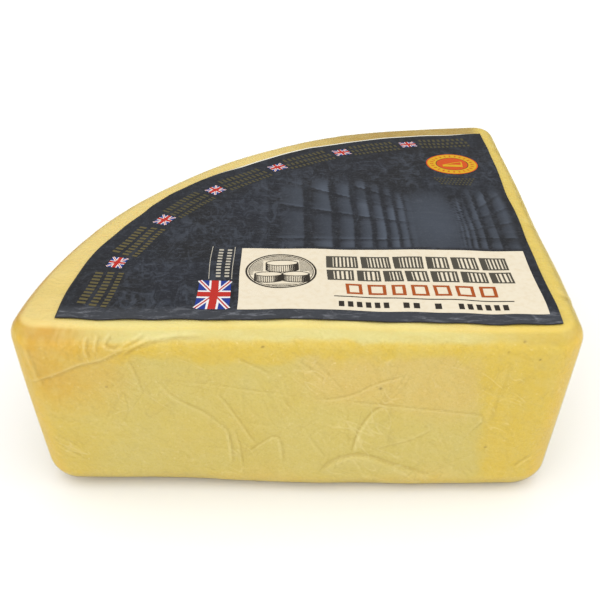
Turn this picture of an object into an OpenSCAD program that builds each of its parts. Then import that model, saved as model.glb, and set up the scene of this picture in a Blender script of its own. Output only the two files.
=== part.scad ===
// Quarter of a cheddar wheel, packed tight in clear film, with a paper label on its top.
// Millimetres, +Z up. The block stands on z = 0 with the middle of its footprint at the origin.
// The two cut sides face -Y (front) and +X, and meet at the wheel's middle.
// The rind side curves round from the -X end of the front to the +Y end of the other cut.

/* [Block] */
// Radius of the wheel that the quarter was cut from
wheel_r = 198; // [150:1:260]
// Height of the block
block_h = 74; // [50:0.5:120]
// How far the sides draw in from the top down to the foot
draft = 5; // [0:0.5:8]
// How far the sides swell out at half height
swell = 0.3; // [0:0.1:3]

/* [Edges] */
// Radius of the upright corner where the two cut sides meet
cut_corner_r = 13; // [8:0.5:30]
// Radius of the upright corners where a cut side meets the rind
rind_corner_r = 11; // [8:0.5:30]
// How much larger these upright corners get down at the foot
corner_growth = 2; // [0:0.5:12]
// Radius along the top edge
top_edge_r = 8; // [3:0.5:10]
// Radius along the foot
foot_edge_r = 9; // [3:0.5:12]

/* [Unevenness] */
// Height of the long waves in the top
top_wave = 0.5; // [0:0.1:1]
// Depth of the waves in the sides
side_wave = 0.5; // [0:0.1:1]
// How far the foot's edge rises off the table in places
foot_wave = 1.9; // [0:0.1:3]

/* [Label] */
// Radius of the quarter-round label
label_r = 172; // [120:1:180]
// Distance from the front cut side to the label
label_front_gap = 8; // [2:0.5:20]
// Distance from the other cut side to the label
label_side_gap = 9.5; // [2:0.5:20]
// Thickness of the label with its laminate
label_t = 0.4; // [0.2:0.1:1]
// Radius of the label's three corners
label_corner_r = 1; // [0.5:0.1:5]
// Thickness of the glue under the label
glue_t = 0.15; // [0.1:0.05:0.4]

/* [Hidden] */

// Steps along each stretch of a quarter's outline.
CORNER_STEPS = 7;
SIDE_STEPS = 18;
RIND_STEPS = 28;
// Steps round an edge's quarter turn, up a side, and inward over the top.
EDGE_STEPS = 5;
WALL_STEPS = 7;
TOP_STEPS = 7;

// The inset below which a corner would turn inside out.
EDGE_SPARE = 1;
top_edge = min(top_edge_r, cut_corner_r - EDGE_SPARE, rind_corner_r - EDGE_SPARE);
foot_edge = min(foot_edge_r, min(cut_corner_r, rind_corner_r) + corner_growth - EDGE_SPARE);
// Share of the foot, from its middle out, that is flat on the table.
FOOT_FLAT = 0.8;
// Where the rings of a quarter shrink to, as a share of its radius along both cut sides.
HUB = 0.44;

// ---- plan: a quarter disc with its square corner at [0, 0], reaching -X and +Y ----

// Each station is [point, outward normal].
function arc_stations(centre, r, from, to, steps) = [
    for (i = [0 : steps - 1])
        let (turn = from + (to - from) * i / steps, out = [cos(turn), sin(turn)])
            [centre + r * out, out]
];
function line_stations(from, to, out, steps) = [
    for (i = [0 : steps - 1]) [from + (to - from) * i / steps, out]
];
function quarter_stations(r, square_r, end_r) =
    let (reach = sqrt(pow(r - end_r, 2) - pow(end_r, 2)), lean = asin(end_r / (r - end_r)))
        concat(
            arc_stations([-square_r, square_r], square_r, -90, 0, CORNER_STEPS),
            line_stations([0, square_r], [0, reach], [1, 0], SIDE_STEPS),
            arc_stations([-end_r, reach], end_r, 0, 90 + lean, CORNER_STEPS),
            arc_stations([0, 0], r, 90 + lean, 180 - lean, RIND_STEPS),
            arc_stations([-reach, end_r], end_r, 180 - lean, 270, CORNER_STEPS),
            line_stations([-reach, 0], [-square_r, 0], [0, -1], SIDE_STEPS)
        );

// ---- unevenness: smooth long waves ----

hub = wheel_r * [-HUB, HUB];
// Direction of a plan point as seen from the hub, in degrees.
function bearing(p) = atan2(p[1] - hub[1], p[0] - hub[0]);
// Height of the top over its mean, at a plan point.
function top_swing(p) =
    top_wave * (sin(360 * p[0] / 118 + 25) * cos(360 * p[1] / 190) + 0.4 * sin(360 * p[1] / 130 + 60));
// How far a side stands out at a bearing, and at a height from 0 at the foot to 1 at the top.
function side_swing(turn, rise) =
    swell * sin(180 * rise) + side_wave * (sin(3 * turn + 140 * rise) + 0.6 * sin(7 * turn - 90 * rise));
// How far the foot's edge is off the table at a bearing.
LOW_BEARING = -68;
function foot_lift(turn) =
    foot_wave * (0.5 - 0.42 * cos(2 * (turn - LOW_BEARING)) - 0.08 * cos(9 * (turn - LOW_BEARING)));

// ---- the block's rings, from the table up ----

// A profile row is [inset from the side, height, share of the foot's lift, scale towards the hub].
foot_profile = concat(
    [for (i = [0 : 2]) [foot_edge, 0, i / 2, FOOT_FLAT + (1 - FOOT_FLAT) * i / 2]],
    [for (i = [1 : EDGE_STEPS])
        let (turn = 90 * i / EDGE_STEPS) [foot_edge * (1 - sin(turn)), foot_edge * (1 - cos(turn)), 1, 1]]
);
wall_h = block_h - top_edge - foot_edge;
wall_profile = [
    for (i = [1 : WALL_STEPS]) [0, foot_edge + wall_h * i / WALL_STEPS, pow(1 - i / WALL_STEPS, 2), 1]
];
edge_profile = [
    for (i = [1 : EDGE_STEPS])
        let (turn = 90 * i / EDGE_STEPS) [top_edge * (1 - cos(turn)), block_h - top_edge * (1 - sin(turn)), 0, 1]
];
top_profile = [for (i = [1 : TOP_STEPS - 1]) [top_edge, block_h, 0, 1 - i / TOP_STEPS]];
profile = concat(foot_profile, wall_profile, edge_profile, top_profile);

// A point of the block at a station and a profile row.
function block_point(station, row) =
    let (
        rise = row[1] / block_h,
        turn = bearing(station[0]),
        out = side_swing(turn, rise) - row[0],
        drawn = 1 - draft / (HUB * wheel_r) * (1 - rise),
        p = hub + row[3] * drawn * (station[0] + out * station[1] - hub),
        up = max(0, 2 * rise - 1)
    )
        [p[0], p[1], row[1] + row[2] * foot_lift(turn) + up * up * top_swing(p)];

// One ring of the block: the quarter's outline with the corners that it has at the row's height.
function block_ring(row) =
    let (more = corner_growth * (1 - row[1] / block_h))
        [for (s = quarter_stations(wheel_r, cut_corner_r + more, rind_corner_r + more)) block_point(s, row)];

// A closed skin over rings of equal length, with the first ring as one flat face and a point on the last.
module ring_solid(rings, peak) {
    n = len(rings[0]);
    points = concat([for (ring = rings) each ring], [peak]);
    faces = concat(
        [[for (i = [0 : n - 1]) i]],
        [for (k = [0 : len(rings) - 2], i = [0 : n - 1]) each [
            [k * n + i, (k + 1) * n + i, (k + 1) * n + (i + 1) % n],
            [k * n + i, (k + 1) * n + (i + 1) % n, k * n + (i + 1) % n]
        ]],
        [for (i = [0 : n - 1]) [(len(rings) - 1) * n + i, len(points) - 1, (len(rings) - 1) * n + (i + 1) % n]]
    );
    polyhedron(points, faces, convexity = 4);
}

// The middle of the block's footprint, which in_place brings to the origin.
function middle_of(values) = (max(values) + min(values)) / 2;
outline_points = [for (row = profile) each block_ring(row)];
plan_middle = [for (k = [0, 1]) middle_of([for (p = outline_points) p[k]])];
module in_place() {
    translate([-plan_middle[0], -plan_middle[1], 0]) children();
}

module cheese() {
    color("khaki") in_place() ring_solid(
        [for (row = profile) block_ring(row)],
        [hub[0], hub[1], block_h + top_swing(hub)]
    );
}

// ---- the label: a sheet that follows the waves of the top ----

label_corner = [-label_side_gap, label_front_gap];
label_hub = label_corner + label_r * [-HUB, HUB];
// A point on the label, share of the way out from its hub, at a height over the top's face.
function label_point(station, share, over) =
    let (p = label_hub + share * (label_corner + station[0] - label_hub))
        [p[0], p[1], block_h + top_swing(p) + over];

module label() {
    stations = quarter_stations(label_r, label_corner_r, label_corner_r);
    n = len(stations);
    under = [for (i = [1 : TOP_STEPS]) [for (s = stations) label_point(s, i / TOP_STEPS, glue_t)]];
    over = [for (i = [TOP_STEPS : -1 : 1]) [for (s = stations) label_point(s, i / TOP_STEPS, glue_t + label_t)]];
    rings = concat(under, over);
    middle = block_h + top_swing(label_hub) + glue_t;
    points = concat(
        [for (ring = rings) each ring],
        [[label_hub[0], label_hub[1], middle], [label_hub[0], label_hub[1], middle + label_t]]
    );
    last = (len(rings) - 1) * n;
    faces = concat(
        [for (i = [0 : n - 1]) [i, (i + 1) % n, len(points) - 2]],
        [for (k = [0 : len(rings) - 2], i = [0 : n - 1]) each [
            [k * n + i, (k + 1) * n + i, (k + 1) * n + (i + 1) % n],
            [k * n + i, (k + 1) * n + (i + 1) % n, k * n + (i + 1) % n]
        ]],
        [for (i = [0 : n - 1]) [last + i, len(points) - 1, last + (i + 1) % n]]
    );
    color("darkslategray") in_place() polyhedron(points, faces, convexity = 4);
}

cheese();
label();
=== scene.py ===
"""Looks of a cheddar block: a quarter wheel in tight clear film, with a printed label on its top.

The shapes are worked out in millimetres and made in metres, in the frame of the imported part.
"Row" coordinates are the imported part's own: the middle of the foot is at 0, 0, 0 and z is up.
"Plan" coordinates have the wheel's middle at 0, 0 and reach -x and +y, as the CAD source has them.
"Label" coordinates have the label's square corner at 0, 0, and also reach -x and +y.
"""

import math

import bpy
import numpy as np
from mathutils import Matrix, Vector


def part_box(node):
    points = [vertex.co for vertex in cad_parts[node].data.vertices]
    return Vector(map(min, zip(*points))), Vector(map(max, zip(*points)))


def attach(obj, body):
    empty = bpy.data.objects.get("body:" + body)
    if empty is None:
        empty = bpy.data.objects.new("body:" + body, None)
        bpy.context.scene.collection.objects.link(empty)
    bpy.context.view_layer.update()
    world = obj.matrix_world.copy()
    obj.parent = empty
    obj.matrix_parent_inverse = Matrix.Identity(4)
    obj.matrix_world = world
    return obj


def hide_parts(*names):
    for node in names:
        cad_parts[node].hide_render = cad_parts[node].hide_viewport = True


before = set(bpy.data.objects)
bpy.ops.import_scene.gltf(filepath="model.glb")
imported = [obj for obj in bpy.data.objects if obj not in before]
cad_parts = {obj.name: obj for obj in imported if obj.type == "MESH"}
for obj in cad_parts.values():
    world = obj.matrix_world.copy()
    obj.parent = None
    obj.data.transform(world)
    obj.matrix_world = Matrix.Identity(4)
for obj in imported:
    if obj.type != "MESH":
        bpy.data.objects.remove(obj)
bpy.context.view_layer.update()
MM = 0.001

# ---------------------------------------------------------------- sizes, mm, as the part has them

WHEEL_R = 198.0
BLOCK_H = 74.0
DRAFT = 5.0
SWELL = 0.3
CUT_CORNER_R = 13.0
RIND_CORNER_R = 11.0
CORNER_GROWTH = 2.0
TOP_EDGE_R = 8.0
FOOT_EDGE_R = 9.0
TOP_WAVE = 0.5
SIDE_WAVE = 0.5
FOOT_WAVE = 1.9
LOW_BEARING = -68.0
FOOT_FLAT = 0.8
HUB_SHARE = 0.44

LABEL_R = 172.0
LABEL_FRONT_GAP = 8.0
LABEL_SIDE_GAP = 9.5
LABEL_T = 0.4
GLUE_T = 0.15

LABEL_BOX = np.array(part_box("label")) / MM
LABEL_CORNER = np.array([LABEL_BOX[1][0], LABEL_BOX[0][1]])
WHEEL_MIDDLE = LABEL_CORNER + [LABEL_SIDE_GAP, -LABEL_FRONT_GAP]
HUB = WHEEL_R * HUB_SHARE * np.array([-1.0, 1.0])

CHEESE_DEPTH = 0.25  # how far the cheese lies under the film's outer face
INK_T = 0.05  # lift of one printed layer over the next

# ---------------------------------------------------------------- how finely the shapes are made, mm

SKIN_PITCH = 0.5
STRAIGHT_RUN = 174.0  # about the length of a cut side between its corners
RIND_RUN = 288.0  # about the length of the rind between its corners
SHEET_STEPS = (90, 60)  # round the arc, and out from the square corner
GROUND_STEPS = (190, 240)
WHITE_EDGE = 0.45  # bare paper left round the dark print


def sind(degrees):
    return np.sin(np.radians(degrees))


def cosd(degrees):
    return np.cos(np.radians(degrees))


def smooth(low, high, x):
    """0 below low, 1 above high, and an even ramp between."""
    t = np.clip((x - low) / (high - low), 0.0, 1.0)
    return t * t * (3.0 - 2.0 * t)


def bell(x, width):
    return np.exp(-((x / width) ** 2))


# ---------------------------------------------------------------- form of the block


def arc_stations(centre, r, start, end, steps):
    turn = np.linspace(start, end, steps, endpoint=False)
    out = np.stack([cosd(turn), sind(turn)], -1)
    return np.array(centre) + r * out, out


def line_stations(start, end, out, steps):
    share = np.linspace(0.0, 1.0, steps, endpoint=False)[:, None]
    return np.array(start) * (1 - share) + np.array(end) * share, np.tile(np.array(out, float), (steps, 1))


def quarter_stations(r, square_r, end_r, steps):
    """Points and outward directions round a quarter disc with rounded corners."""
    corner, right, rind, front = steps
    reach = math.sqrt((r - end_r) ** 2 - end_r**2)
    lean = math.degrees(math.asin(end_r / (r - end_r)))
    runs = (
        arc_stations((-square_r, square_r), square_r, -90, 0, corner),
        line_stations((0, square_r), (0, reach), (1, 0), right),
        arc_stations((-end_r, reach), end_r, 0, 90 + lean, corner),
        arc_stations((0, 0), r, 90 + lean, 180 - lean, rind),
        arc_stations((-reach, end_r), end_r, 180 - lean, 270, corner),
        line_stations((-reach, 0), (-square_r, 0), (0, -1), front),
    )
    return np.concatenate([p for p, _ in runs]), np.concatenate([o for _, o in runs])


def bearing(p):
    return np.degrees(np.arctan2(p[..., 1] - HUB[1], p[..., 0] - HUB[0]))


def top_swing(x, y):
    """Height of the top's long waves at a plan point."""
    waves = sind(360 * x / 118 + 25) * cosd(360 * y / 190) + 0.4 * sind(360 * y / 130 + 60)
    return TOP_WAVE * waves


def side_swing(turn, rise):
    waves = sind(3 * turn + 140 * rise) + 0.6 * sind(7 * turn - 90 * rise)
    return SWELL * sind(180 * rise) + SIDE_WAVE * waves


def foot_lift(turn):
    off = turn - LOW_BEARING
    return FOOT_WAVE * (0.5 - 0.42 * cosd(2 * off) - 0.08 * cosd(9 * off))


def block_ring(inset, height, lift, shrink, steps):
    """One ring of the block, in row millimetres."""
    rise = height / BLOCK_H
    more = CORNER_GROWTH * (1 - rise)
    at, out = quarter_stations(WHEEL_R, CUT_CORNER_R + more, RIND_CORNER_R + more, steps)
    turn = bearing(at)
    drawn = 1 - DRAFT / (HUB_SHARE * WHEEL_R) * (1 - rise)
    reach = (side_swing(turn, rise) - inset)[:, None]
    p = HUB + shrink * drawn * (at + reach * out - HUB)
    up = max(0.0, 2 * rise - 1)
    z = height + lift * foot_lift(turn) + up * up * top_swing(p[:, 0], p[:, 1])
    return np.column_stack([p + WHEEL_MIDDLE, z])


def block_net(pitch):
    """The block's whole skin as rings from the middle of the foot to the middle of the top."""
    quarter_turn = math.pi / 2
    corner = round(CUT_CORNER_R * quarter_turn / (pitch * 2))
    right, rind, front = STRAIGHT_RUN / (pitch * 4), RIND_RUN / (pitch * 4.4), STRAIGHT_RUN / pitch
    steps = (corner, round(right), round(rind), round(front))
    rows = [(FOOT_EDGE_R, 0.0, 0.0, s) for s in (0.05, 0.4, FOOT_FLAT)]
    rows += [(FOOT_EDGE_R, 0.0, (s - FOOT_FLAT) / (1 - FOOT_FLAT), s) for s in (0.86, 0.92, 0.96, 1.0)]
    foot_steps = round(FOOT_EDGE_R * quarter_turn / (pitch * 1.4))
    for i in range(1, foot_steps + 1):
        turn = 90 * i / foot_steps
        rows.append((FOOT_EDGE_R * (1 - sind(turn)), FOOT_EDGE_R * (1 - cosd(turn)), 1.0, 1.0))
    wall = BLOCK_H - TOP_EDGE_R - FOOT_EDGE_R
    wall_steps = round(wall / (pitch * 1.2))
    for i in range(1, wall_steps + 1):
        share = i / wall_steps
        rows.append((0.0, FOOT_EDGE_R + wall * share, (1 - share) ** 2, 1.0))
    edge_steps = round(TOP_EDGE_R * quarter_turn / (pitch * 1.3))
    for i in range(1, edge_steps + 1):
        turn = 90 * i / edge_steps
        rows.append((TOP_EDGE_R * (1 - cosd(turn)), BLOCK_H - TOP_EDGE_R * (1 - sind(turn)), 0.0, 1.0))
    shrinks = (0.985, 0.97, 0.955, 0.935, 0.915, 0.88, 0.8, 0.6, 0.3, 0.06)
    rows += [(TOP_EDGE_R, BLOCK_H, 0.0, s) for s in shrinks]
    return np.stack([block_ring(*row, steps) for row in rows])


def net_normals(net):
    """Outward direction at each point of a net of rings."""
    round_way = np.roll(net, -1, 1) - np.roll(net, 1, 1)
    up_way = np.gradient(net, axis=0)
    out = np.cross(round_way, up_way)
    return out / np.maximum(np.linalg.norm(out, axis=2, keepdims=True), 1e-9)


# ---------------------------------------------------------------- creases of the film

# Creases of the front, each as (height, width, points), with points as (x, z) in row millimetres.
FRONT_CREASES = [
    (0.30, 0.45, [(-66.4, 69.1), (-62.8, 67), (-58.5, 67.7)]),
    (0.20, 0.50, [(-71.5, 71.5), (-72, 66), (-70.5, 63)]),
    (0.18, 0.45, [(-67.5, 72), (-68.5, 68), (-68, 66)]),
    (0.22, 0.50, [(-49, 72), (-54, 69), (-60, 65.5)]),
    (0.18, 0.45, [(-52, 72.5), (-57, 69.8), (-62, 67)]),
    (0.18, 0.50, [(-63, 72.5), (-65, 70), (-64.5, 66.5)]),
    (0.22, 0.60, [(-92.8, 67.7), (-90.5, 58), (-88.5, 49.8)]),
    (0.15, 0.45, [(-49.2, 54), (-45, 47.7), (-40, 43.4), (-34, 39.8), (-28.5, 34), (-25.6, 29.8),
                  (-23.5, 14.8)]),
    (0.17, 0.42, [(-30, 49.8), (-25.6, 43.4), (-21.4, 35.5), (-17.8, 28.4), (-15, 23.4)]),
    (0.14, 0.42, [(-23.5, 32), (-21.5, 24), (-20.5, 13)]),
    (0.13, 0.40, [(-25.2, 31), (-24.6, 22), (-24.2, 14)]),
    (0.16, 0.42, [(-18.5, 19), (-12.8, 24.8), (-7.8, 27.7), (-6.4, 22), (-5.6, 14.8)]),
    (0.11, 0.40, [(-22.8, 64), (-15.6, 59.8), (-10, 56.3)]),
    (0.10, 0.40, [(-8.5, 47.7), (-5, 44), (-2.8, 39.8)]),
    (0.11, 0.45, [(-58.5, 63.4), (-56, 56), (-54.2, 47.7)]),
    (0.08, 0.40, [(-45.6, 53.4), (-31.4, 52), (-20, 49.8), (-8.5, 48), (1, 46)]),
    (0.13, 0.42, [(4.4, 45.5), (13, 46), (20, 48.4), (27, 52.7), (39.4, 57)]),
    (0.13, 0.42, [(13, 45.5), (23, 44), (34.4, 42.4), (53, 39.8), (64.4, 37.7), (61.5, 32), (57.2, 26.3)]),
    (0.18, 0.50, [(20, 19.8), (21.5, 27.7), (23, 33.4), (27, 40.5), (31.5, 42.7)]),
    (0.10, 0.42, [(48.7, 33.4), (40, 27.7), (27, 23.4)]),
    (0.10, 0.42, [(3, 30.5), (6, 24), (10, 17.7)]),
    (0.10, 0.40, [(-1.4, 63.4), (4, 58), (10, 52)]),
    (0.10, 0.40, [(3, 63.4), (9, 57), (15.8, 48.4)]),
    (0.06, 0.80, [(70.8, 62), (68, 48), (65.8, 33.4)]),
    (0.13, 0.40, [(-87, 27.7), (-82, 24), (-77.8, 20.5)]),
    (0.13, 0.40, [(-86.4, 22.7), (-82, 19), (-77.8, 16.3)]),
    (0.20, 0.50, [(80, 13.4), (83, 17), (85.8, 18.4)]),
]
# The edge of the film's lap: above it the film lies double.
LAP_EDGE = [(-93.0, 51.5), (-88.5, 54), (-82.8, 56.5), (-74.2, 60.8), (-67, 63), (-60, 67), (-52.8, 69.5),
            (-44, 71.7), (-30, 72.3)]
LAP_STEP = 0.15
# The crest of the loose fold of film along the foot.
FLAP_CREST = [(8, 9.5), (10, 13.4), (14.4, 17.7), (21.5, 19.8), (27.2, 18.4), (34.4, 14.8), (41.5, 12),
              (48.7, 9.1), (54, 7.5)]
# The patch where the film has let go of the cheese.
LOOSE_PATCH = [(-84, 51), (-74, 51.7), (-69, 45.5), (-70.6, 39.8), (-77, 35.5), (-84, 32.7), (-88, 42),
               (-84, 51)]


def curve_through(points, pitch=1.0):
    """A smooth run of points through the given ones, about one pitch apart."""
    p = np.array(points, float)
    p = np.concatenate([2 * p[:1] - p[1:2], p, 2 * p[-1:] - p[-2:-1]])
    run = []
    for a, b, c, d in zip(p[:-3], p[1:-2], p[2:-1], p[3:]):
        steps = max(2, round(np.linalg.norm(c - b) / pitch))
        t = np.linspace(0, 1, steps, endpoint=False)[:, None]
        bend, twist = 2 * a - 5 * b + 4 * c - d, 3 * b - a - 3 * c + d
        run.append(0.5 * (2 * b + (c - a) * t + bend * t**2 + twist * t**3))
    return np.concatenate(run + [p[-2:-1]])


def beside(q, run):
    """For points q: how far each is from the run, signed to its left, and the share of the way along."""
    a, b = run[:-1], run[1:]
    along = b - a
    size = np.maximum((along**2).sum(1), 1e-9)
    off = q[:, None, :] - a[None]
    t = np.clip((off * along).sum(2) / size, 0, 1)
    gap = off - t[..., None] * along
    d = np.sqrt((gap**2).sum(2))
    k = d.argmin(1)
    rows = np.arange(len(q))
    cross = along[k, 0] * off[rows, k, 1] - along[k, 1] * off[rows, k, 0]
    return np.where(cross >= 0, 1.0, -1.0) * d[rows, k], (k + t[rows, k]) / len(a)


def near(q, run, reach):
    """Which points q lie within reach of the run's box."""
    return np.where(((q > run.min(0) - reach) & (q < run.max(0) + reach)).all(1))[0]


def crease(q, points, height, width):
    """A pinched ridge with a slack hollow on one side, fading out at both ends."""
    run = curve_through(points)
    relief = np.zeros(len(q))
    which = near(q, run, 5 * width)
    if len(which):
        d, share = beside(q[which], run)
        fade = smooth(0, 0.18, share) * smooth(0, 0.18, 1 - share)
        relief[which] = height * fade * (bell(d, width) - 0.6 * bell(d - 1.9 * width, 1.1 * width))
    return relief


def inside(q, points):
    """True for the points q inside a closed outline."""
    run = curve_through(points, 2.0)
    hit = np.zeros(len(q), bool)
    for (x0, y0), (x1, y1) in zip(run[:-1], run[1:]):
        if y0 != y1:
            crosses = (y0 > q[:, 1]) != (y1 > q[:, 1])
            hit ^= crosses & (q[:, 0] < (x1 - x0) * (q[:, 1] - y0) / (y1 - y0) + x0)
    return hit


def wandering_creases(seed, count, along, up, heading, stride, heights, widths):
    """Creases that begin in a field of a side and wander off on a heading, as (height, width, points)."""
    draw = np.random.default_rng(seed)
    found = []
    for _ in range(count):
        points = [np.array([draw.uniform(*along), draw.uniform(*up)])]
        turn = draw.uniform(*heading)
        for _ in range(draw.integers(2, 6)):
            turn += draw.normal(0, 14)
            points.append(points[-1] + draw.uniform(0.7, 1.3) * stride * np.array([cosd(turn), sind(turn)]))
        found.append((draw.uniform(*heights), draw.uniform(*widths), points))
    return found


def front_relief(q):
    """How far the film stands out on the front at points q as (x, z): in fine lines, and in broad folds."""
    fine = np.zeros(len(q))
    broad = np.zeros(len(q))
    for height, width, points in FRONT_CREASES:
        fine += crease(q, points, height, width)
    # The faint ones cross without piling up.
    faint = np.zeros(len(q))
    for height, width, points in FAINT_CREASES:
        line = crease(q, points, height, width)
        faint = np.where(np.abs(line) > np.abs(faint), line, faint)
    fine += faint
    x, z = q[:, 0], q[:, 1]
    lap = curve_through(LAP_EDGE)
    which = near(q, lap, 26)
    d, share = beside(q[which], lap)
    fade = smooth(0, 0.04, share) * smooth(0, 0.12, 1 - share)
    broad[which] += fade * LAP_STEP * smooth(-0.4, 0.4, d) * smooth(14, 3, d)
    fine[which] += fade * (0.20 * bell(d, 0.45) - 0.12 * bell(d + 0.9, 0.6))
    # The loose fold along the foot.
    flap = curve_through(FLAP_CREST)
    which = near(q, flap, 16)
    d, share = beside(q[which], flap)
    fade = smooth(0, 0.12, share) * smooth(0, 0.3, 1 - share)
    broad[which] += fade * 0.8 * np.where(d < 0, bell(d, 6.0), bell(d, 0.6))
    fine[which] += fade * (0.06 * np.where(d < 0, bell(d, 5.0), 0.0) - 0.15 * bell(d - 0.8, 0.5))
    broad += 0.06 * inside(q, LOOSE_PATCH)
    return fine, broad


FAINT_CREASES = (
    wandering_creases(7, 170, (-97, 97), (5, 68), (-65, -25), 3.4, (0.015, 0.05), (0.35, 0.5))
    + wandering_creases(8, 80, (-97, 97), (5, 68), (20, 100), 2.8, (0.015, 0.045), (0.35, 0.5))
    + wandering_creases(9, 30, (-95, -66), (60, 66), (76, 100), 2.6, (0.02, 0.045), (0.4, 0.7))
)
RIGHT_CREASES = wandering_creases(11, 30, (0, 190), (6, 66), (0, 180), 9.0, (0.04, 0.10), (1.3, 2.0))
RIND_CREASES = wandering_creases(23, 50, (0, 300), (6, 66), (0, 180), 9.0, (0.04, 0.10), (1.4, 2.2))


def film_relief(net, out):
    """How far the film stands out from the block's form, in fine lines and in broad folds."""
    flat = net.reshape(-1, 3)
    face = out.reshape(-1, 3)
    fine = np.zeros(len(flat))
    broad = np.zeros(len(flat))
    z = flat[:, 2]
    level = np.hypot(face[:, 0], face[:, 1])
    side = smooth(0.05, 0.35, level)
    plan = flat[:, :2] - WHEEL_MIDDLE
    on_front = smooth(0.55, 0.8, -face[:, 1] / np.maximum(level, 0.05)) * side
    which = np.where((on_front > 0) & (plan[:, 1] < 40))[0]
    lines, folds = front_relief(flat[which][:, [0, 2]])
    fine[which] += on_front[which] * lines
    broad[which] += on_front[which] * folds
    angle = np.degrees(np.arctan2(plan[:, 1], -plan[:, 0]))
    on_right = side * smooth(-25, -12, plan[:, 0]) * smooth(8, 16, plan[:, 1])
    on_rind = side * smooth(150, 175, np.hypot(*plan.T)) * smooth(2, 6, angle) * smooth(2, 6, 90 - angle)
    round_rind = np.radians(angle) * WHEEL_R
    sides = ((on_right, plan[:, 1], RIGHT_CREASES), (on_rind, round_rind, RIND_CREASES))
    for there, along, creases in sides:
        which = np.where(there > 0)[0]
        q = np.column_stack([along[which], z[which]])
        for height, width, points in creases:
            fine[which] += there[which] * crease(q, points, height, width)
    return fine.reshape(net.shape[:2]), broad.reshape(net.shape[:2])


def foot_line(x):
    """How far the front's foot is drawn up along x, where the film puckers under it."""
    left = 0.8 * smooth(-28, -33, x) * smooth(-70, -50, x)
    return 1.3 * bell(x - 24, 9.0) + left + 1.2 * smooth(60, 84, x)


# ---------------------------------------------------------------- making meshes


def new_piece(name, points, faces, material, sleek=True):
    """A mesh piece from points in row millimetres, riding on the one body."""
    mesh = bpy.data.meshes.new(name)
    mesh.from_pydata((np.asarray(points) * MM).tolist(), [], faces)
    mesh.validate()
    mesh.update()
    mesh.polygons.foreach_set("use_smooth", [sleek] * len(mesh.polygons))
    mesh.materials.append(material)
    piece = bpy.data.objects.new(name, mesh)
    bpy.context.scene.collection.objects.link(piece)
    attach(piece, "root")
    return piece


def ring_faces(rings, count):
    """Faces over rings of equal length, and a fan over the first and last round two added points."""
    k, i = np.meshgrid(np.arange(rings - 1), np.arange(count), indexing="ij")
    j = (i + 1) % count
    faces = np.stack([k * count + i, k * count + j, (k + 1) * count + j, (k + 1) * count + i], -1)
    faces = faces.reshape(-1, 4).tolist()
    low, high, last = rings * count, rings * count + 1, (rings - 1) * count
    faces += [[low, (i + 1) % count, i] for i in range(count)]
    faces += [[high, last + i, last + (i + 1) % count] for i in range(count)]
    return faces


def skin_points(pitch, offset):
    """The block's net with creases, pushed in by an offset, the net's directions and its fine lines."""
    net = block_net(pitch)
    out = net_normals(net)
    open_top = 1 - smooth(0.9, 0.99, out[..., 2])
    fine, broad = film_relief(net, out)
    net = net + out * ((fine + broad) * open_top - offset)[..., None]
    at_foot = smooth(0.4, 0.9, -out[..., 1]) * smooth(18, 2, net[..., 2])
    net[..., 2] = np.maximum(net[..., 2] + at_foot * foot_line(net[..., 0]), offset)
    return net, out, fine


def store_colours(piece, name, colours):
    """Stores one linear colour for each point of a piece."""
    layer = piece.data.attributes.new(name, "FLOAT_COLOR", "POINT")
    layer.data.foreach_set("color", np.column_stack([colours, np.ones(len(colours))]).ravel())


def store_values(piece, name, values):
    layer = piece.data.attributes.new(name, "FLOAT", "POINT")
    layer.data.foreach_set("value", np.asarray(values, float).ravel())


def make_skin(name, pitch, offset, material):
    """A closed skin of the block: its contents or its film."""
    net, out, fine = skin_points(pitch, offset)
    hub = HUB + WHEEL_MIDDLE
    ends = [[hub[0], hub[1], offset], [hub[0], hub[1], BLOCK_H + float(top_swing(*HUB)) - offset]]
    points = np.concatenate([net.reshape(-1, 3), ends])
    directions = np.concatenate([out.reshape(-1, 3), [[0, 0, -1], [0, 0, 1]]])
    piece = new_piece(name, points, ring_faces(net.shape[0], net.shape[1]), material)
    return piece, points, directions, np.append(fine.ravel(), [0.0, 0.0])


# ---------------------------------------------------------------- colours and materials


def hex_linear(code):
    """An sRGB hex colour as linear red, green and blue."""
    parts = [int(code[i : i + 2], 16) / 255 for i in (1, 3, 5)]
    return np.array([c / 12.92 if c <= 0.04045 else ((c + 0.055) / 1.055) ** 2.4 for c in parts])


def rgba(code):
    return (*hex_linear(code), 1.0)


def per_mm(size):
    """The texture scale that repeats about once in a size in millimetres."""
    return 1.0 / (size * MM)


def node(tree, kind, sockets=None, output=0, **settings):
    """Adds one node and returns one of its outputs. A socket takes a value or another node's output."""
    made = tree.nodes.new("ShaderNode" + kind)
    for key, value in settings.items():
        setattr(made, key, value)
    for key, value in (sockets or {}).items():
        if isinstance(value, bpy.types.NodeSocket):
            tree.links.new(value, made.inputs[key])
        else:
            made.inputs[key].default_value = value
    return made.outputs[output] if made.outputs else None


def new_material(name):
    material = bpy.data.materials.new(name)
    material.use_nodes = True
    material.node_tree.nodes.clear()
    return material, material.node_tree


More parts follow.
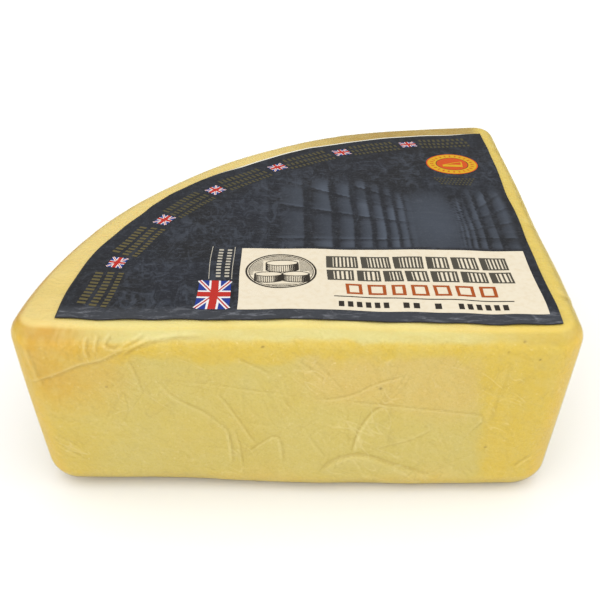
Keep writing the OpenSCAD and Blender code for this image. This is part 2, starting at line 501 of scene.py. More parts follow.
def mottle(tree, size, low, high, detail=3.0, rough=0.55, swirl=0.0, stretch=(1.0, 1.0, 1.0), turn=0.0):
    """An uneven pattern from 0 to 1 with features of a size in millimetres.

    The nearer low and high are, the sharper its edges; the higher they are, the rarer its patches.
    Stretch makes the features that many times as long along x, y and z, turned by degrees in the front.
    """
    place = node(tree, "TexCoord", output="Object")
    drawn_out = {"Vector": place, "Scale": stretch, "Rotation": (0.0, math.radians(turn), 0.0)}
    place = node(tree, "Mapping", drawn_out, vector_type="TEXTURE")
    grain = {"Vector": place, "Scale": per_mm(size), "Detail": detail, "Roughness": rough}
    value = node(tree, "TexNoise", {**grain, "Distortion": swirl})
    return node(tree, "MapRange", {0: value, 1: low, 2: high}, interpolation_type="SMOOTHSTEP")


def hairlines(tree, size, width, turn):
    """Thin wandering lines, 1 along their middles, a size apart and drawn out along one way."""
    rise = mottle(tree, size, 0.0, 1.0, 1.0, 0.5, 0.6, (3.0, 1.0, 1.0), turn)
    off = node(tree, "Math", {0: rise, 1: 0.5}, operation="SUBTRACT")
    off = node(tree, "Math", {0: off}, operation="ABSOLUTE")
    line = node(tree, "MapRange", {0: off, 1: 2.0 * width / size, 2: 0.0}, interpolation_type="SMOOTHSTEP")
    return node(tree, "Math", {0: line, 1: mottle(tree, 2.5 * size, 0.5, 0.62)}, operation="MULTIPLY")


def laid_over(tree, under, over, pattern, strength=1.0):
    """One colour laid over another where a pattern is high."""
    share = node(tree, "Math", {0: pattern, 1: strength}, operation="MULTIPLY")
    over = rgba(over) if isinstance(over, str) else over
    return node(tree, "Mix", {0: share, 6: under, 7: over}, output=2, data_type="RGBA")


def crinkled(tree, *layers):
    """A surface direction with bumps, each layer a height pattern and its depth in millimetres."""
    direction = None
    for height, depth in layers:
        sockets = {"Strength": 0.6, "Distance": depth * MM, "Height": height}
        if direction:
            sockets["Normal"] = direction
        direction = node(tree, "Bump", sockets)
    return direction


def waxy_cheddar():
    """Cheddar cut with a wire and pressed smooth by its film: waxy, with light sunk a little way in.

    The wire leaves a faint slanting drag on the cut front, and the top is smoother.
    """
    material, t = new_material("waxy cheddar, wire cut")
    tone = node(t, "Attribute", output="Color", attribute_name="cheddar_tone")
    grain = node(t, "Attribute", output="Fac", attribute_name="grain")
    milky = laid_over(t, tone, "#C8BD82", mottle(t, 5.0, 0.35, 0.7, 4.0), 0.18)
    shade = laid_over(t, milky, "#BCA139", mottle(t, 22.0, 0.45, 0.75), 0.25)
    # The light and dark hairlines are painted glints and painted shade of the film's fine crinkles, in the
    # colour as well as in the bumps.
    painted_glint_lines, painted_shade_lines = (hairlines(t, 7.0, 0.12, turn) for turn in (42.0, -60.0))
    layers = (
        ("#98833B", mottle(t, 1.4, 0.5, 0.7, 3.0, 0.6, 0.5, (3.0, 1.0, 1.0), 38.0), 0.14),
        ("#9E8840", mottle(t, 0.8, 0.42, 0.7, 3.0, 0.7), 0.24),
        ("#F3E9BC", mottle(t, 1.3, 0.58, 0.72, 4.0, 0.75), 0.24),
        ("#F3E9BC", painted_glint_lines, 0.14),
        ("#968138", painted_shade_lines, 0.16),
    )
    for colour, pattern, strength in layers:
        share = node(t, "Math", {0: pattern, 1: grain}, operation="MULTIPLY")
        shade = laid_over(t, shade, colour, share, strength)
    relief = ((mottle(t, 0.9, 0.0, 1.0, 3.0, 0.6), 0.08), (mottle(t, 3.6, 0.0, 1.0, 5.0, 0.55, 1.2), 0.4))
    sockets = {
        "Base Color": shade,
        "Roughness": 0.5,
        "IOR": 1.45,
        "Subsurface Weight": 0.12,
        "Subsurface Radius": (1.0, 0.62, 0.22),
        "Subsurface Scale": 0.0015,
        "Normal": crinkled(t, *relief, (painted_glint_lines, 0.08), (painted_shade_lines, -0.1)),
    }
    node(t, "OutputMaterial", {"Surface": node(t, "BsdfPrincipled", sockets)})
    return material


def shrink_film():
    """Clear shrink film, blown and drawn tight by heat: a soft gloss, and fine crinkles that catch light."""
    material, t = new_material("clear shrink film")
    fine, broad = mottle(t, 1.1, 0.0, 1.0, 2.0, 0.5, 0.8), mottle(t, 4.2, 0.0, 1.0, 4.0, 0.5, 1.6)
    relief = crinkled(t, (fine, 0.08), (broad, 0.5))
    clear = node(t, "BsdfTransparent", {"Color": (0.985, 0.98, 0.95, 1.0)})
    gloss = node(t, "BsdfGlossy", {"Color": (0.75, 0.7, 0.5, 1.0), "Roughness": 0.3, "Normal": relief})
    # So thin a film lying on wax hardly mirrors at a slant, so its share of the light is held down there.
    mirror = node(t, "Fresnel", {"IOR": 1.35, "Normal": relief})
    mirror = node(t, "Math", {0: mirror, 1: 0.14}, operation="MINIMUM")
    node(t, "OutputMaterial", {"Surface": node(t, "MixShader", {0: mirror, 1: clear, 2: gloss})})
    return material


def laminated(name, colour, roughness=0.45, flaw=None):
    """Offset print on white paper under a thin satin laminate: even ink, a soft sheen, faint paper grain."""
    material, t = new_material(name)
    shade = rgba(colour) if colour else node(t, "Attribute", output="Color", attribute_name="paper_tone")
    if flaw:
        shade = laid_over(t, shade, flaw, mottle(t, 2.2, 0.4, 0.75, 4.0), 0.5)
    sockets = {
        "Base Color": shade,
        "Roughness": roughness,
        "IOR": 1.5,
        "Specular IOR Level": 0.14,
        "Normal": crinkled(t, (mottle(t, 0.6, 0.0, 1.0, 2.0), 0.03)),
    }
    node(t, "OutputMaterial", {"Surface": node(t, "BsdfPrincipled", sockets)})
    return material


def charcoal_print():
    """The label's dark ground: charcoal ink with a slate-blue picture, dusty, and rubbed along the front."""
    material, t = new_material("charcoal print, satin laminate")
    names = ("picture", "rock", "wear")
    picture, rock, wear = (node(t, "Attribute", output="Fac", attribute_name=name) for name in names)
    ground = laid_over(t, rgba("#161618"), "#191B21", mottle(t, 34.0, 0.35, 0.65, 2.0))
    lit = laid_over(t, ground, "#474E59", node(t, "MapRange", {0: picture, 1: 0.0, 2: 1.0}))
    dark = laid_over(t, lit, "#111317", node(t, "MapRange", {0: picture, 1: 0.0, 2: -1.0}))
    strokes = mottle(t, 5.0, 0.46, 0.66, 6.0, 0.7, 1.4, (1.0, 2.2, 1.0))
    chips = mottle(t, 2.0, 0.5, 0.66, 5.0, 0.7, 0.8, (2.2, 1.0, 1.0))
    for pattern, strength in ((strokes, 0.6), (chips, 0.5)):
        share = node(t, "Math", {0: pattern, 1: rock}, operation="MULTIPLY")
        dark = laid_over(t, dark, "#3A3F48", share, strength)
    dusty = laid_over(t, dark, "#494C52", mottle(t, 1.0, 0.52, 0.74, 4.0, 0.75), 0.5)
    rubbed = laid_over(t, dusty, "#4A4D53", wear, 0.45)
    scuffs = mottle(t, 2.6, 0.5, 0.72, 6.0, 0.75, 0.6, (2.9, 1.0, 1.0))
    scratch = node(t, "Math", {0: scuffs, 1: wear}, operation="MULTIPLY")
    sockets = {
        "Base Color": laid_over(t, rubbed, "#74767C", scratch),
        "Roughness": 0.5,
        "IOR": 1.5,
        "Specular IOR Level": 0.13,
        "Normal": crinkled(t, (mottle(t, 0.9, 0.0, 1.0), 0.04)),
    }
    node(t, "OutputMaterial", {"Surface": node(t, "BsdfPrincipled", sockets)})
    return material


# ---------------------------------------------------------------- the cheese and its film

CHEDDAR_PALE = hex_linear("#C0AF61")
CHEDDAR_BEIGE = hex_linear("#C6AD60")
CHEDDAR_GOLD = hex_linear("#C8AD42")
CHEDDAR_DEEP = hex_linear("#C6921D")
CHEDDAR_END_GLOW = hex_linear("#D3AC28")
CHEDDAR_PAINTED_HIGHLIGHT = hex_linear("#D2C780")
CHEDDAR_TOP = hex_linear("#D5BD74")
CHEDDAR_SIDE = hex_linear("#D3B956")
CHEDDAR_BACK_SHADE = hex_linear("#A2843C")
PIT_BROWN = hex_linear("#54380F")
CREASE_PAINTED_HIGHLIGHT = hex_linear("#F1E8B8")
CREASE_PAINTED_SHADE = hex_linear("#947B2E")
# Small dark pits of the front, as (x, z, radius).
PITS = [(-12.4, 68.3, 0.35), (28.1, 51.2, 0.45), (75.5, 70.6, 0.3), (70.3, 66.9, 0.3), (81.2, 64.3, 0.3),
        (67.9, 23.7, 0.35), (-66, 51, 0.3)]


def blend(first, second, share):
    return first * (1 - share[:, None]) + second * share[:, None]


def soft_noise(q, size, seed):
    """Smooth noise from 0 to 1 at points q of two coordinates, with features of a size."""
    draw = np.random.default_rng(seed)
    grid = draw.random((64, 64))
    g = q / size
    cell = np.floor(g).astype(int)
    f = g - cell
    f = f * f * (3 - 2 * f)
    c = cell % 64
    d = (cell + 1) % 64
    low = grid[c[:, 0], c[:, 1]] * (1 - f[:, 0]) + grid[d[:, 0], c[:, 1]] * f[:, 0]
    high = grid[c[:, 0], d[:, 1]] * (1 - f[:, 0]) + grid[d[:, 0], d[:, 1]] * f[:, 0]
    return low * (1 - f[:, 1]) + high * f[:, 1]


def on_front_edge(directions):
    """How much a direction leans to the front."""
    return smooth(0.15, 0.5, -directions[:, 1])


def cheddar_tones(points, directions, fine):
    """Colour of the cheese: pale where the film lies slack, golden where it clings, with a painted glow on
    the front's ends, a painted highlight along its top edge, painted shade toward the back of the top and in
    crease hollows, and a painted highlight on crease ridges.
    """
    x, y, z = points.T
    q = np.column_stack([x + 0.6 * y + 400, z + 0.3 * y + 400])
    drift = 0.6 * soft_noise(q, 24, 5) + 0.4 * soft_noise(q, 9, 6)
    ragged = 6 * soft_noise(q, 7, 3) + 2.5 * soft_noise(q, 2.5, 4)
    on_front = smooth(0.5, 0.9, -directions[:, 1])
    on_top = smooth(0.82, 0.97, directions[:, 2])
    edge = smooth(0.2 + 0.03 * ragged, 0.5 + 0.03 * ragged, directions[:, 2]) * (1 - on_top)
    # The slack middle of the front ends in ragged lines under the top edge and before both ends.
    slack = on_front * smooth(66, 60, z + ragged - 4) * smooth(-97, -45, x + 2 * ragged)
    slack *= smooth(71, 65, x + 0.12 * z - 3 + 0.5 * ragged) * smooth(-2, 14, z)
    patches = smooth(0, 20, z) * smooth(66, 56, z + ragged - 4) * smooth(0.3, 0.6, drift)
    slack = np.maximum(slack, (1 - on_front) * patches)
    slack_tone = blend(CHEDDAR_PALE[None], CHEDDAR_BEIGE[None], smooth(0.5, 0.8, soft_noise(q, 33, 12)))
    tone = blend(CHEDDAR_GOLD[None], slack_tone, np.clip(slack * (0.7 + 0.6 * drift), 0, 1))
    deep = smooth(-46, -90, x) * smooth(30, 62, z) * (0.5 + 0.8 * drift)
    tone = blend(tone, CHEDDAR_DEEP[None], np.clip(deep, 0, 0.9))
    # Painted glow: the front's rounded upright ends are painted a deeper, brighter gold, as of light glowing
    # through the cheese there.
    ends = smooth(0.12, 0.7, np.abs(directions[:, 0])) * smooth(0.1, 0.4, -directions[:, 1])
    tone = blend(tone, CHEDDAR_END_GLOW[None], 0.75 * ends)
    # A painted highlight: the rounded top edge of the front is painted pale, streaked along, and less so
    # toward both ends.
    streaks = 0.7 + 0.6 * soft_noise(np.column_stack([x + 400, 9 * z + 0.5 * x + 900]), 11, 9)
    painted_highlight_band = edge * on_front_edge(directions) * smooth(-88, -50, x) * smooth(84, 44, x) * streaks
    tone = blend(tone, CHEDDAR_PAINTED_HIGHLIGHT[None], np.clip(painted_highlight_band, 0, 1))
    side = smooth(20, 60, x + 0.2 * y)
    flat = blend(CHEDDAR_TOP[None], CHEDDAR_SIDE[None], side)
    # Toward the back the flat top is painted darker: painted shade.
    flat = blend(flat, CHEDDAR_BACK_SHADE[None], smooth(10, 75, y) * smooth(-25, 40, x) * smooth(91, 84, x))
    # The flat top just behind the front edge carries the same painted highlight.
    rim = 0.7 * smooth(-84, -90, y) * smooth(-90, -60, x) * smooth(70, 40, x)
    flat = blend(flat, CHEDDAR_PAINTED_HIGHLIGHT[None], rim)
    # Painted shade dims the rounded top edges all round, and painted light brightens the lowest 16 mm of the
    # block.
    tone = tone * (1 - 0.16 * edge[:, None]) * (1 + 0.10 * smooth(16, 2, z)[:, None])
    tone = tone * (1 - on_top[:, None]) + flat * on_top[:, None]
    # Painted shade in the hollows of the creases, and a painted highlight on their ridges.
    tone = blend(tone, CREASE_PAINTED_SHADE[None], 0.38 * np.clip(-fine / 0.08, 0, 1))
    tone = blend(tone, CREASE_PAINTED_HIGHLIGHT[None], 0.2 * np.clip(fine / 0.2, 0, 1))
    for px, pz, r in PITS:
        tone = blend(tone, PIT_BROWN[None], (y < -80) * bell(np.hypot(x - px, z - pz), r))
    return tone


def make_block():
    cheese, *form = make_skin("cheese_block", SKIN_PITCH, CHEESE_DEPTH, waxy_cheddar())
    store_colours(cheese, "cheddar_tone", cheddar_tones(*form))
    store_values(cheese, "grain", 1.0 - 0.75 * smooth(0.5, 0.95, form[1][:, 2]))
    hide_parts("cheese")
    make_skin("clear_film", SKIN_PITCH, 0.0, shrink_film())


# ---------------------------------------------------------------- the label's sheet


def label_wobble(x, y):
    """How far the sheet is stretched out of true at a label point."""
    dx = 0.25 * sind(360 * y / 61) + 0.15 * sind(360 * (y + x) / 37)
    dy = 0.30 * sind(360 * x / 47 + 40) + 0.22 * sind(360 * x / 19) * smooth(30, 0, y)
    return dx, dy


def label_top(x, y):
    """Height of the label's printed face at a label point, with its faint cockles."""
    waves = top_swing(x - LABEL_SIDE_GAP, y + LABEL_FRONT_GAP)
    cockle = 0.10 * sind(360 * (x + 0.4 * y) / 23) * sind(360 * (y - 0.2 * x) / 31)
    front = 0.12 * sind(360 * x / 17) * smooth(12, 0, y)
    return BLOCK_H + waves + GLUE_T + LABEL_T + cockle + front


def on_label(x, y, lift=0.0):
    """Row points of label points, on the printed face or over it."""
    x, y = np.asarray(x, float), np.asarray(y, float)
    dx, dy = label_wobble(x, y)
    return np.stack([x + dx + LABEL_CORNER[0], y + dy + LABEL_CORNER[1], label_top(x, y) + lift], -1)


def label_edge(angle):
    """The label's radius at an angle from its front edge: a hand-fed cut with two small jogs."""
    return LABEL_R + 0.5 * sind(5 * angle) + 1.0 * smooth(27, 30, angle) - 1.0 * smooth(60, 63, angle) - 0.3


def paper_tones(x, y):
    """Colour of the paper's cut edge: bare paper along the back of the arc, inked over elsewhere."""
    at_back = smooth(40, 50, np.degrees(np.arctan2(y, -x))) * smooth(-2, -12, x)
    bare = at_back * smooth(165, 170, np.hypot(x, y))
    return blend(hex_linear("#2E2D2C")[None], hex_linear("#D3D0C2")[None], bare)


def label_grid(margin, angle_steps, reach_steps):
    """A polar grid of label points from the square corner out to the arc less a margin."""
    angle = np.linspace(0, 90, angle_steps + 1)
    reach = np.linspace(0, 1, reach_steps + 1)
    a, s = np.meshgrid(angle, reach, indexing="ij")
    r = (label_edge(a) - margin * (1 + smooth(42, 50, a) * smooth(88, 84, a))) * s
    return -r * cosd(a), r * sind(a)


def grid_faces(rows, columns, turned=False):
    k, i = np.meshgrid(np.arange(rows - 1), np.arange(columns - 1), indexing="ij")
    a = k * columns + i
    quads = np.stack([a, a + 1, a + columns + 1, a + columns], -1).reshape(-1, 4)
    return (quads[:, ::-1] if turned else quads).tolist()


def make_label_sheet():
    """The white paper under the print, with its cut edge, and the dark printed face."""
    x, y = label_grid(0.0, *SHEET_STEPS)
    shape = x.shape
    top = on_label(x, y, -INK_T).reshape(-1, 3)
    low = on_label(x, y, -LABEL_T).reshape(-1, 3)
    count = len(top)
    faces = grid_faces(*shape, turned=True)
    faces += [[v + count for v in face[::-1]] for face in grid_faces(*shape, turned=True)]
    rows, columns = shape
    rim = list(range(columns))
    rim += [k * columns + columns - 1 for k in range(1, rows)]
    rim += [(rows - 1) * columns + i for i in range(columns - 2, 0, -1)]
    for a, b in zip(rim, rim[1:] + rim[:1]):
        faces.append([a, b, b + count, a + count])
    paper = laminated("label paper, cut edge", None, 0.6)
    sheet = new_piece("label_paper", np.concatenate([top, low]), faces, paper, sleek=False)
    store_colours(sheet, "paper_tone", np.tile(paper_tones(x.ravel(), y.ravel()), (2, 1)))
    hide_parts("label")

    x, y = label_grid(WHITE_EDGE, *GROUND_STEPS)
    points = on_label(x, y).reshape(-1, 3)
    face = new_piece("label_ground", points, grid_faces(*x.shape, turned=True), charcoal_print())
    x, y = x.ravel(), y.ravel()
    store_values(face, "picture", store_picture(x, y))
    store_values(face, "rock", rock_share(x, y))
    store_values(face, "wear", wear_share(x, y))


def rack(across, up, pile, shelves):
    """Round-sided stacks in the bays of a rack, as light from -1 to 1.

    across grows along the rack and up over its foot, in shares of the distance to its vanishing point.
    """
    column = np.floor(across / pile)
    u = across / pile - column
    row = np.clip(np.searchsorted(shelves, up), 1, len(shelves) - 1)
    low, high = np.array(shelves)[row - 1], np.array(shelves)[row]
    v = (up - low) / (high - low)
    chance = np.mod(np.sin(column * 12.9898 + row * 78.233) * 43758.5, 1.0)
    light = (0.35 + 0.75 * chance) * smooth(0.02, 0.85, u) * smooth(1.0, 0.94, u)
    light -= 0.75 * smooth(0.35, 0.0, u) + 0.45 * smooth(0.72, 1.0, v)
    return light + 0.3 * bell(v - 0.03, 0.05)


def store_picture(x, y):
    """A dim picture of an arched store with wheels stacked on racks to both sides."""
    # The left rack runs back to a point by the label's right edge.
    d = np.maximum(1.0 - x, 1.0)
    up = (y - 60.0) / d
    left = rack(103.0 / d - 1.0, up, 0.17, (-0.16, 0.0, 0.315, 0.554, 0.746, 0.95))
    left *= smooth(-106, -96, x) * smooth(-41.0, -50, x)
    left *= smooth(52, 54, y) * smooth(0.95, 0.80, up) * smooth(121, 106, y)
    # The right rack runs back to the middle of the picture.
    d = np.maximum(x + 37.0, 1.0)
    up = (y - 62.0) / d
    right = rack(4.0 - 34.0 / d, up, 0.34, (-1.0, 0.0, 0.4, 0.8, 1.2, 1.6, 2.4))
    right *= smooth(-28, -23, x) * smooth(-2, -5, x) * smooth(52, 54, y) * smooth(112, 98, y)
    # Between them light falls through an arch.
    arch = np.hypot((x + 35.5) / 13.5, np.maximum(y - 86, 0) / 19.0)
    glow = 0.54 * bell(np.hypot((x + 35.0) / 22.0, (y - 74.0) / 40.0), 1.0) * smooth(1.4, 0.4, arch)
    glow = glow * smooth(52, 54, y) - 0.18 * bell(arch - 1.2, 0.2) * smooth(80, 90, y)
    return 0.85 * left + 0.7 * right + glow


def rock_share(x, y):
    """Where the picture shows bare rock: most at the left of the label, over the arch and in its light."""
    reach = np.hypot(x, y)
    wall = smooth(-86, -104, x) * smooth(158, 148, reach)
    vault = 0.7 * smooth(104, 118, y) * smooth(156, 146, reach)
    light = 0.5 * bell(np.hypot((x + 35) / 16, (y - 74) / 26), 1.0)
    return np.clip(0.42 + wall + vault + light, 0, 1) * smooth(1, 6, y)


def wear_share(x, y):
    """Where the print is rubbed: along the front edge, and a little everywhere."""
    return np.clip(0.8 * smooth(9.0, 4.0, y) + 0.06, 0, 1)


# ---------------------------------------------------------------- printed shapes, in label mm


def plate(x0, y0, x1, y1, cell=2.0):
    """A rectangle as a grid of quads, so that it follows the label's waves."""
    nx, ny = (max(1, math.ceil(abs(size) / cell)) for size in (x1 - x0, y1 - y0))
    x, y = np.meshgrid(np.linspace(x0, x1, nx + 1), np.linspace(y0, y1, ny + 1))
    return np.column_stack([x.ravel(), y.ravel()]), grid_faces(ny + 1, nx + 1)


def ring_plate(r0, r1, cell=1.2):
    """A ring or a disc round 0, 0."""
    na = max(2, math.ceil(math.radians(360.0) * r1 / cell))
    nr = max(1, math.ceil((r1 - r0) / 2.0))
    a, r = np.meshgrid(np.linspace(0.0, 360.0, na + 1), np.linspace(r0, r1, nr + 1))
    return np.column_stack([(r * cosd(a)).ravel(), (r * sind(a)).ravel()]), grid_faces(nr + 1, na + 1, True)


def stroke(points, width):
    """A line of even width through points."""
    p = np.array(points, float)
    along = np.gradient(p, axis=0)
    along /= np.linalg.norm(along, axis=1, keepdims=True)
    side = np.column_stack([-along[:, 1], along[:, 0]]) * width / 2
    return np.concatenate([p + side, p - side]), grid_faces(2, len(p), True)


def moved(shape, x, y, turn=0.0):
    points, faces = shape
    c, s = cosd(turn), sind(turn)
    return points @ np.array([[c, s], [-s, c]]) + [x, y], faces


def joined(shapes):
    points, faces, start = [], [], 0
    for p, f in shapes:
        points.append(p)
        faces += [[v + start for v in face] for face in f]
        start += len(p)
    return np.concatenate(points), faces


def print_shapes(name, shapes, layer, material):
    """Makes shapes into one printed piece, a number of ink layers over the label's ground."""
    points, faces = joined(shapes)
    place = on_label(points[:, 0], points[:, 1], layer * INK_T)
    a, b, c = (place[[face[k] for face in faces]] for k in (0, 1, 2))
    up = np.cross(b - a, c - a)[:, 2]
    faces = [face if z > 0 else face[::-1] for face, z in zip(faces, up)]
    return new_piece(name, place, faces, material)


def letter_blocks(x0, x1, y0, y1, widths, gap, line, pitch=None):
    """A row of plain framed blocks in place of a word. With a pitch, each is hatched and left-heavy."""
    shapes = []
    unit = (x1 - x0 - gap * (len(widths) - 1)) / sum(widths)
    a = x0
    for width in widths:
        b = a + width * unit
        heavy = min(2.4, 0.32 * (b - a)) if pitch else line
        shapes += [plate(a, y0, b, y0 + line), plate(a, y1 - line, b, y1)]
        shapes += [plate(a, y0 + line, a + heavy, y1 - line), plate(b - line, y0 + line, b, y1 - line)]
        if pitch:
            room = b - a - heavy - line
            lines = int(room / pitch)
            for k in range(lines):
                x = a + heavy + room * (k + 0.5) / lines
                shapes.append(plate(x - pitch * 0.28, y0 + line, x + pitch * 0.28, y1 - line))
        a = b + gap
    return shapes


def word_dots(x0, x1, y0, y1, pitch, share):
    """A row of small solid blocks in place of small lettering."""
    count = max(1, round((x1 - x0) / pitch))
    step = (x1 - x0) / count
    return [plate(x0 + i * step, y0, x0 + (i + share) * step, y1) for i in range(count)]


def flag(wide, high):
    """Field, white bars and red bars of a plain crossed flag round 0, 0, as three lists of shapes."""
    w, h = wide / 2, high / 2
    span = np.linspace(-0.97, 0.97, 9)
    rise = [np.column_stack([span * w, s * span * h]) for s in (-1, 1)]
    field = [plate(-w, -h, w, h)]
    white = [stroke(line, wide * 0.15) for line in rise]
    white += [plate(-w * 0.36, -h, w * 0.36, h), plate(-w, -h * 0.26, w, h * 0.26)]
    red = [stroke(line, wide * 0.05) for line in rise]
    bars = [plate(-w * 0.23, -h, w * 0.23, h), plate(-w, -h * 0.16, w, h * 0.16)]
    return field, white, red, bars


def circle(r, squash=1.0, start=0.0, end=360.0, steps=48):
    a = np.linspace(start, end, steps + 1)
    return np.column_stack([r * cosd(a), r * squash * sind(a)])


def wheel_of_cheese(x, y, rx, high, squash=0.34):
    """A wheel of cheese in engraved line, its foot's middle at x, y."""
    shapes = [stroke(circle(rx, squash) + [x, y + high], 0.4)]
    shapes.append(stroke(circle(rx, squash, 180, 360) + [x, y], 0.5))
    for side in (-1, 1):
        shapes.append(stroke([(x + side * rx, y + high * k / 2) for k in range(3)], 0.45))
    for angle in range(186, 356, 8):
        px, py = x + rx * cosd(angle), y + rx * squash * sind(angle)
        shapes.append(stroke([(px, py), (px, py + high)], 0.5 if angle > 290 else 0.26))
    return shapes


def medallion():
    """An engraved round: three wheels of cheese, one on the other two, before a hatched wall."""
    shapes = [ring_plate(12.4, 13.1, cell=1.0), ring_plate(11.7, 12.0, cell=1.0)]
    shapes += wheel_of_cheese(-4.7, -7.0, 4.9, 4.6) + wheel_of_cheese(5.2, -7.0, 4.9, 4.6)
    shapes += wheel_of_cheese(0.3, 1.0, 6.0, 5.0)
    for k in range(27):
        y = -11.1 + 0.85 * k
        reach = math.sqrt(max(0.0, 11.6**2 - y * y))
        clear = 0.0 if y < -9.4 or y > 8.4 else 10.3 if y < -0.7 else 6.8
        for side in (-1, 1):
            if reach - clear > 1:
                shapes.append(stroke([(side * r, y) for r in np.linspace(clear, reach, 4)], 0.3))
    return shapes


def make_print():
    cream = laminated("cream print on paper", "#CDC3AE", 0.5, "#C4B599")
    bone = laminated("bone print", "#A6A091", 0.5)
    black = laminated("black print", "#272119", 0.45)
    iron = laminated("iron-grey engraved print", "#423E35", 0.45)
    rust = laminated("rust-orange print", "#934411", 0.45)
    olive = laminated("olive-gold print", "#534B2D", 0.45)
    dim_olive = laminated("dim olive print", "#454029", 0.45)
    blue = laminated("blue print", "#1A2F79", 0.45)
    white = laminated("white print", "#D0CDCB", 0.45)
    red = laminated("red print", "#A3231A", 0.45)
    yellow = laminated("yellow print", "#BE9010", 0.45)
    orange = laminated("orange-red print", "#B6460F", 0.45)

    print_shapes("panel", [plate(-110.9, 6.0, -3.5, 51.0)], 1, cream)
    title = letter_blocks(-79.0, -11.3, 36.2, 45.3, (1.15, 1.1, 1.1, 0.8, 0.95, 1.0), 1.3, 0.8, 1.3)
    title += letter_blocks(-79.0, -11.3, 26.7, 34.5, (1.1, 0.95, 0.8, 0.95, 1.1, 1.05, 0.95), 1.2, 0.8, 1.3)
    print_shapes("title_blocks", title, 2, iron)
    kind = letter_blocks(-72.8, -19.2, 17.0, 24.2, (1.0, 1.1, 0.85, 1.05, 1.05, 1.1, 1.0), 2.0, 1.2)
    print_shapes("kind_blocks", kind, 2, rust)
    rule = [(x, 15.3 + 1.1 * (-77.5 - x) / 63.3) for x in np.linspace(-77.5, -14.2, 24)]
    small = [stroke(rule, 0.6)]
    for start, end in ((-76, -57), (-53.3, -46.3), (-42.5, -38.7), (-34.2, -15.5)):
        small += word_dots(start, end, 8.3, 11.9, 3.4, 0.6)
    print_shapes("small_blocks", small, 2, black)
    print_shapes("medallion", [moved(shape, -95.8, 33.2) for shape in medallion()], 2, black)

    # The flags: one large by the panel, and six small along the arc.
    layers = [[], [], [], []]
    places = [(-119.6, 16.0, 0.0, 11.6, 19.4)]
    for angle in (13.8, 26.9, 39.2, 52.1, 64.4, 76.6):
        places.append((-161 * cosd(angle), 161 * sind(angle), -angle, 6.0, 7.4))
    for x, y, turn, wide, high in places:
        for k, shapes in enumerate(flag(wide, high)):
            layers[k] += [moved(shape, x, y, turn) for shape in shapes]
    print_shapes("flag_fields", layers[0], 1, blue)
    print_shapes("flag_white_bars", layers[1], 2, white)
    print_shapes("flag_red_bars", layers[2] + layers[3], 3, red)

    # The upright lines over the large flag.
    side = [plate(-122.2, 27.0, -121.95, 52.0), plate(-113.75, 27.0, -113.5, 52.0)]
    for x in (-118.6, -115.4):
        side += [moved(shape, x, 0, 90) for shape in word_dots(28.5, 51.0, -0.8, 0.9, 2.2, 0.52)]
    print_shapes("side_lines", side, 1, bone)

    # The groups of small lines along the arc, plainest at the left, and the fine print under the badge.
    groups = [[], []]
    lines = ((164.5, 3.0, 11.5, 2.3), (160.2, 2.6, 12.2, 2.2), (156.4, 2.0, 12.2, 2.1))
    for angle in (7.2, 20.3, 33.0, 45.6, 58.2, 70.5, 83.0):
        for r, high, half, pitch in lines:
            line = word_dots(-half, half, -high / 2, high / 2, pitch, 0.55)
            at = (-r * cosd(angle), r * sind(angle))
            groups[angle > 30] += [moved(shape, at[0], at[1], 90 - angle) for shape in line]
    for k in range(4):
        groups[1] += word_dots(-29.7 + 0.8 * k, -10.8 - 0.8 * k, 116.6 - 2 * k, 117.8 - 2 * k, 1.6, 0.5)
    print_shapes("arc_lines", groups[0], 1, olive)
    print_shapes("dim_arc_lines", groups[1], 1, dim_olive)

    # The round badge, with a wedge on it.
    def on_badge(shapes):
        return [moved(shape, -19.7, 133.7) for shape in shapes]

    print_shapes("badge_rim", on_badge([ring_plate(11.0, 11.6)]), 1, orange)
    print_shapes("badge_ring", on_badge([ring_plate(7.3, 11.05)]), 1, yellow)
    ticks = [moved(plate(-0.3, 8.4, 0.3, 9.8), 0, 0, a) for a in range(0, 360, 15)]
    print_shapes("badge_ticks", on_badge(ticks), 2, orange)
    print_shapes("badge_disc", on_badge([ring_plate(0.0, 7.0)]), 1, orange)
    wedge = [stroke([(-4.4, -1.6), (0, 0.9), (4.4, 2.6)], 0.6), plate(-4.4, -3.4, 4.4, -1.2)]
    wedge += [stroke([(4.2, 2.6), (4.2, -1.2)], 0.6), stroke([(-4.4, -1.4), (0, -1.1), (4.4, -1.0)], 0.5)]
    print_shapes("badge_wedge", on_badge(wedge), 2, yellow)


# ---------------------------------------------------------------- floor, light and camera


FLOOR_HALF = 12
TENT_BACK = 0.15
TENT_FRONT = 2.0
TENT_WAY = (-0.1, -0.45, 0.89)


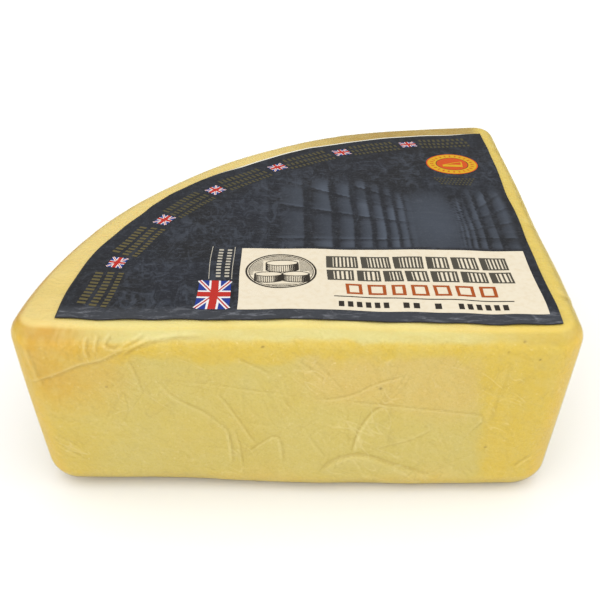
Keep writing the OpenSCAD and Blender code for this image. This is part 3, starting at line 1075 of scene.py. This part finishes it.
def make_stage():
    mesh = bpy.data.meshes.new("floor")
    corners = [(x * FLOOR_HALF, y * FLOOR_HALF, 0) for x, y in ((-1, -1), (1, -1), (1, 1), (-1, 1))]
    mesh.from_pydata(corners, [], [(0, 1, 2, 3)])
    floor = bpy.data.objects.new("floor", mesh)
    bpy.context.scene.collection.objects.link(floor)
    material, t = new_material("matt white paper sweep")
    node(t, "OutputMaterial", {"Surface": node(t, "BsdfDiffuse", {"Color": rgba("#E6E6E5")})})
    mesh.materials.append(material)

    # A white tent, bright overhead and in front, and dimmer low down behind the block.
    world = bpy.data.worlds.new("studio")
    bpy.context.scene.world = world
    bpy.context.scene.view_settings.view_transform = "Standard"
    world.use_nodes = True
    t = world.node_tree
    t.nodes.clear()
    way = node(t, "TexCoord", output="Generated")
    facing = node(t, "VectorMath", {0: way, 1: TENT_WAY}, output="Value", operation="DOT_PRODUCT")
    strength = node(t, "MapRange", {0: facing, 1: -0.3, 2: 1.0, 3: TENT_BACK, 4: TENT_FRONT})
    tent = node(t, "Background", {"Color": rgba("#FFFFFF"), "Strength": strength})
    node(t, "OutputWorld", {"Surface": tent})


def softbox(name, at, aim, size, power):
    light = bpy.data.lights.new(name, "AREA")
    light.shape = "RECTANGLE"
    light.size, light.size_y = size
    light.energy = power
    lamp = bpy.data.objects.new(name, light)
    bpy.context.scene.collection.objects.link(lamp)
    away = (np.array(at) - np.array(aim)).astype(float)
    back = away / np.linalg.norm(away)
    side = np.cross((0, 0, 1), back)
    side /= np.linalg.norm(side)
    up = np.cross(back, side)
    turn = Matrix(np.column_stack([side, up, back]).tolist()).to_4x4()
    lamp.matrix_world = Matrix.Translation(at) @ turn


CAMERA_AT = (-3.5, -362.5, 248.9)
CAMERA_DOWN = 31.4
CAMERA_RIGHT = 0.7
CAMERA_ROLL = -1.1
CAMERA_LENS = 57.6


def make_camera():
    data = bpy.data.cameras.new("camera")
    data.lens = CAMERA_LENS
    data.sensor_width = 36.0
    data.clip_start = 0.01
    camera = bpy.data.objects.new("camera", data)
    bpy.context.scene.collection.objects.link(camera)
    down, right, roll = (math.radians(a) for a in (CAMERA_DOWN, CAMERA_RIGHT, CAMERA_ROLL))
    turn = (
        Matrix.Rotation(-right, 4, "Z")
        @ Matrix.Rotation(math.pi / 2 - down, 4, "X")
        @ Matrix.Rotation(-roll, 4, "Z")
    )
    camera.matrix_world = Matrix.Translation([v * MM for v in CAMERA_AT]) @ turn
    bpy.context.scene.camera = camera


make_camera()
make_stage()
softbox("front softbox", (-0.35, -1.15, 0.6), (0, 0, 0.04), (1.0, 0.8), 1.8)
softbox("side softbox", (1.3, -0.1, 0.6), (0, 0, 0.04), (0.9, 0.9), 3.0)
make_block()
make_label_sheet()
make_print()
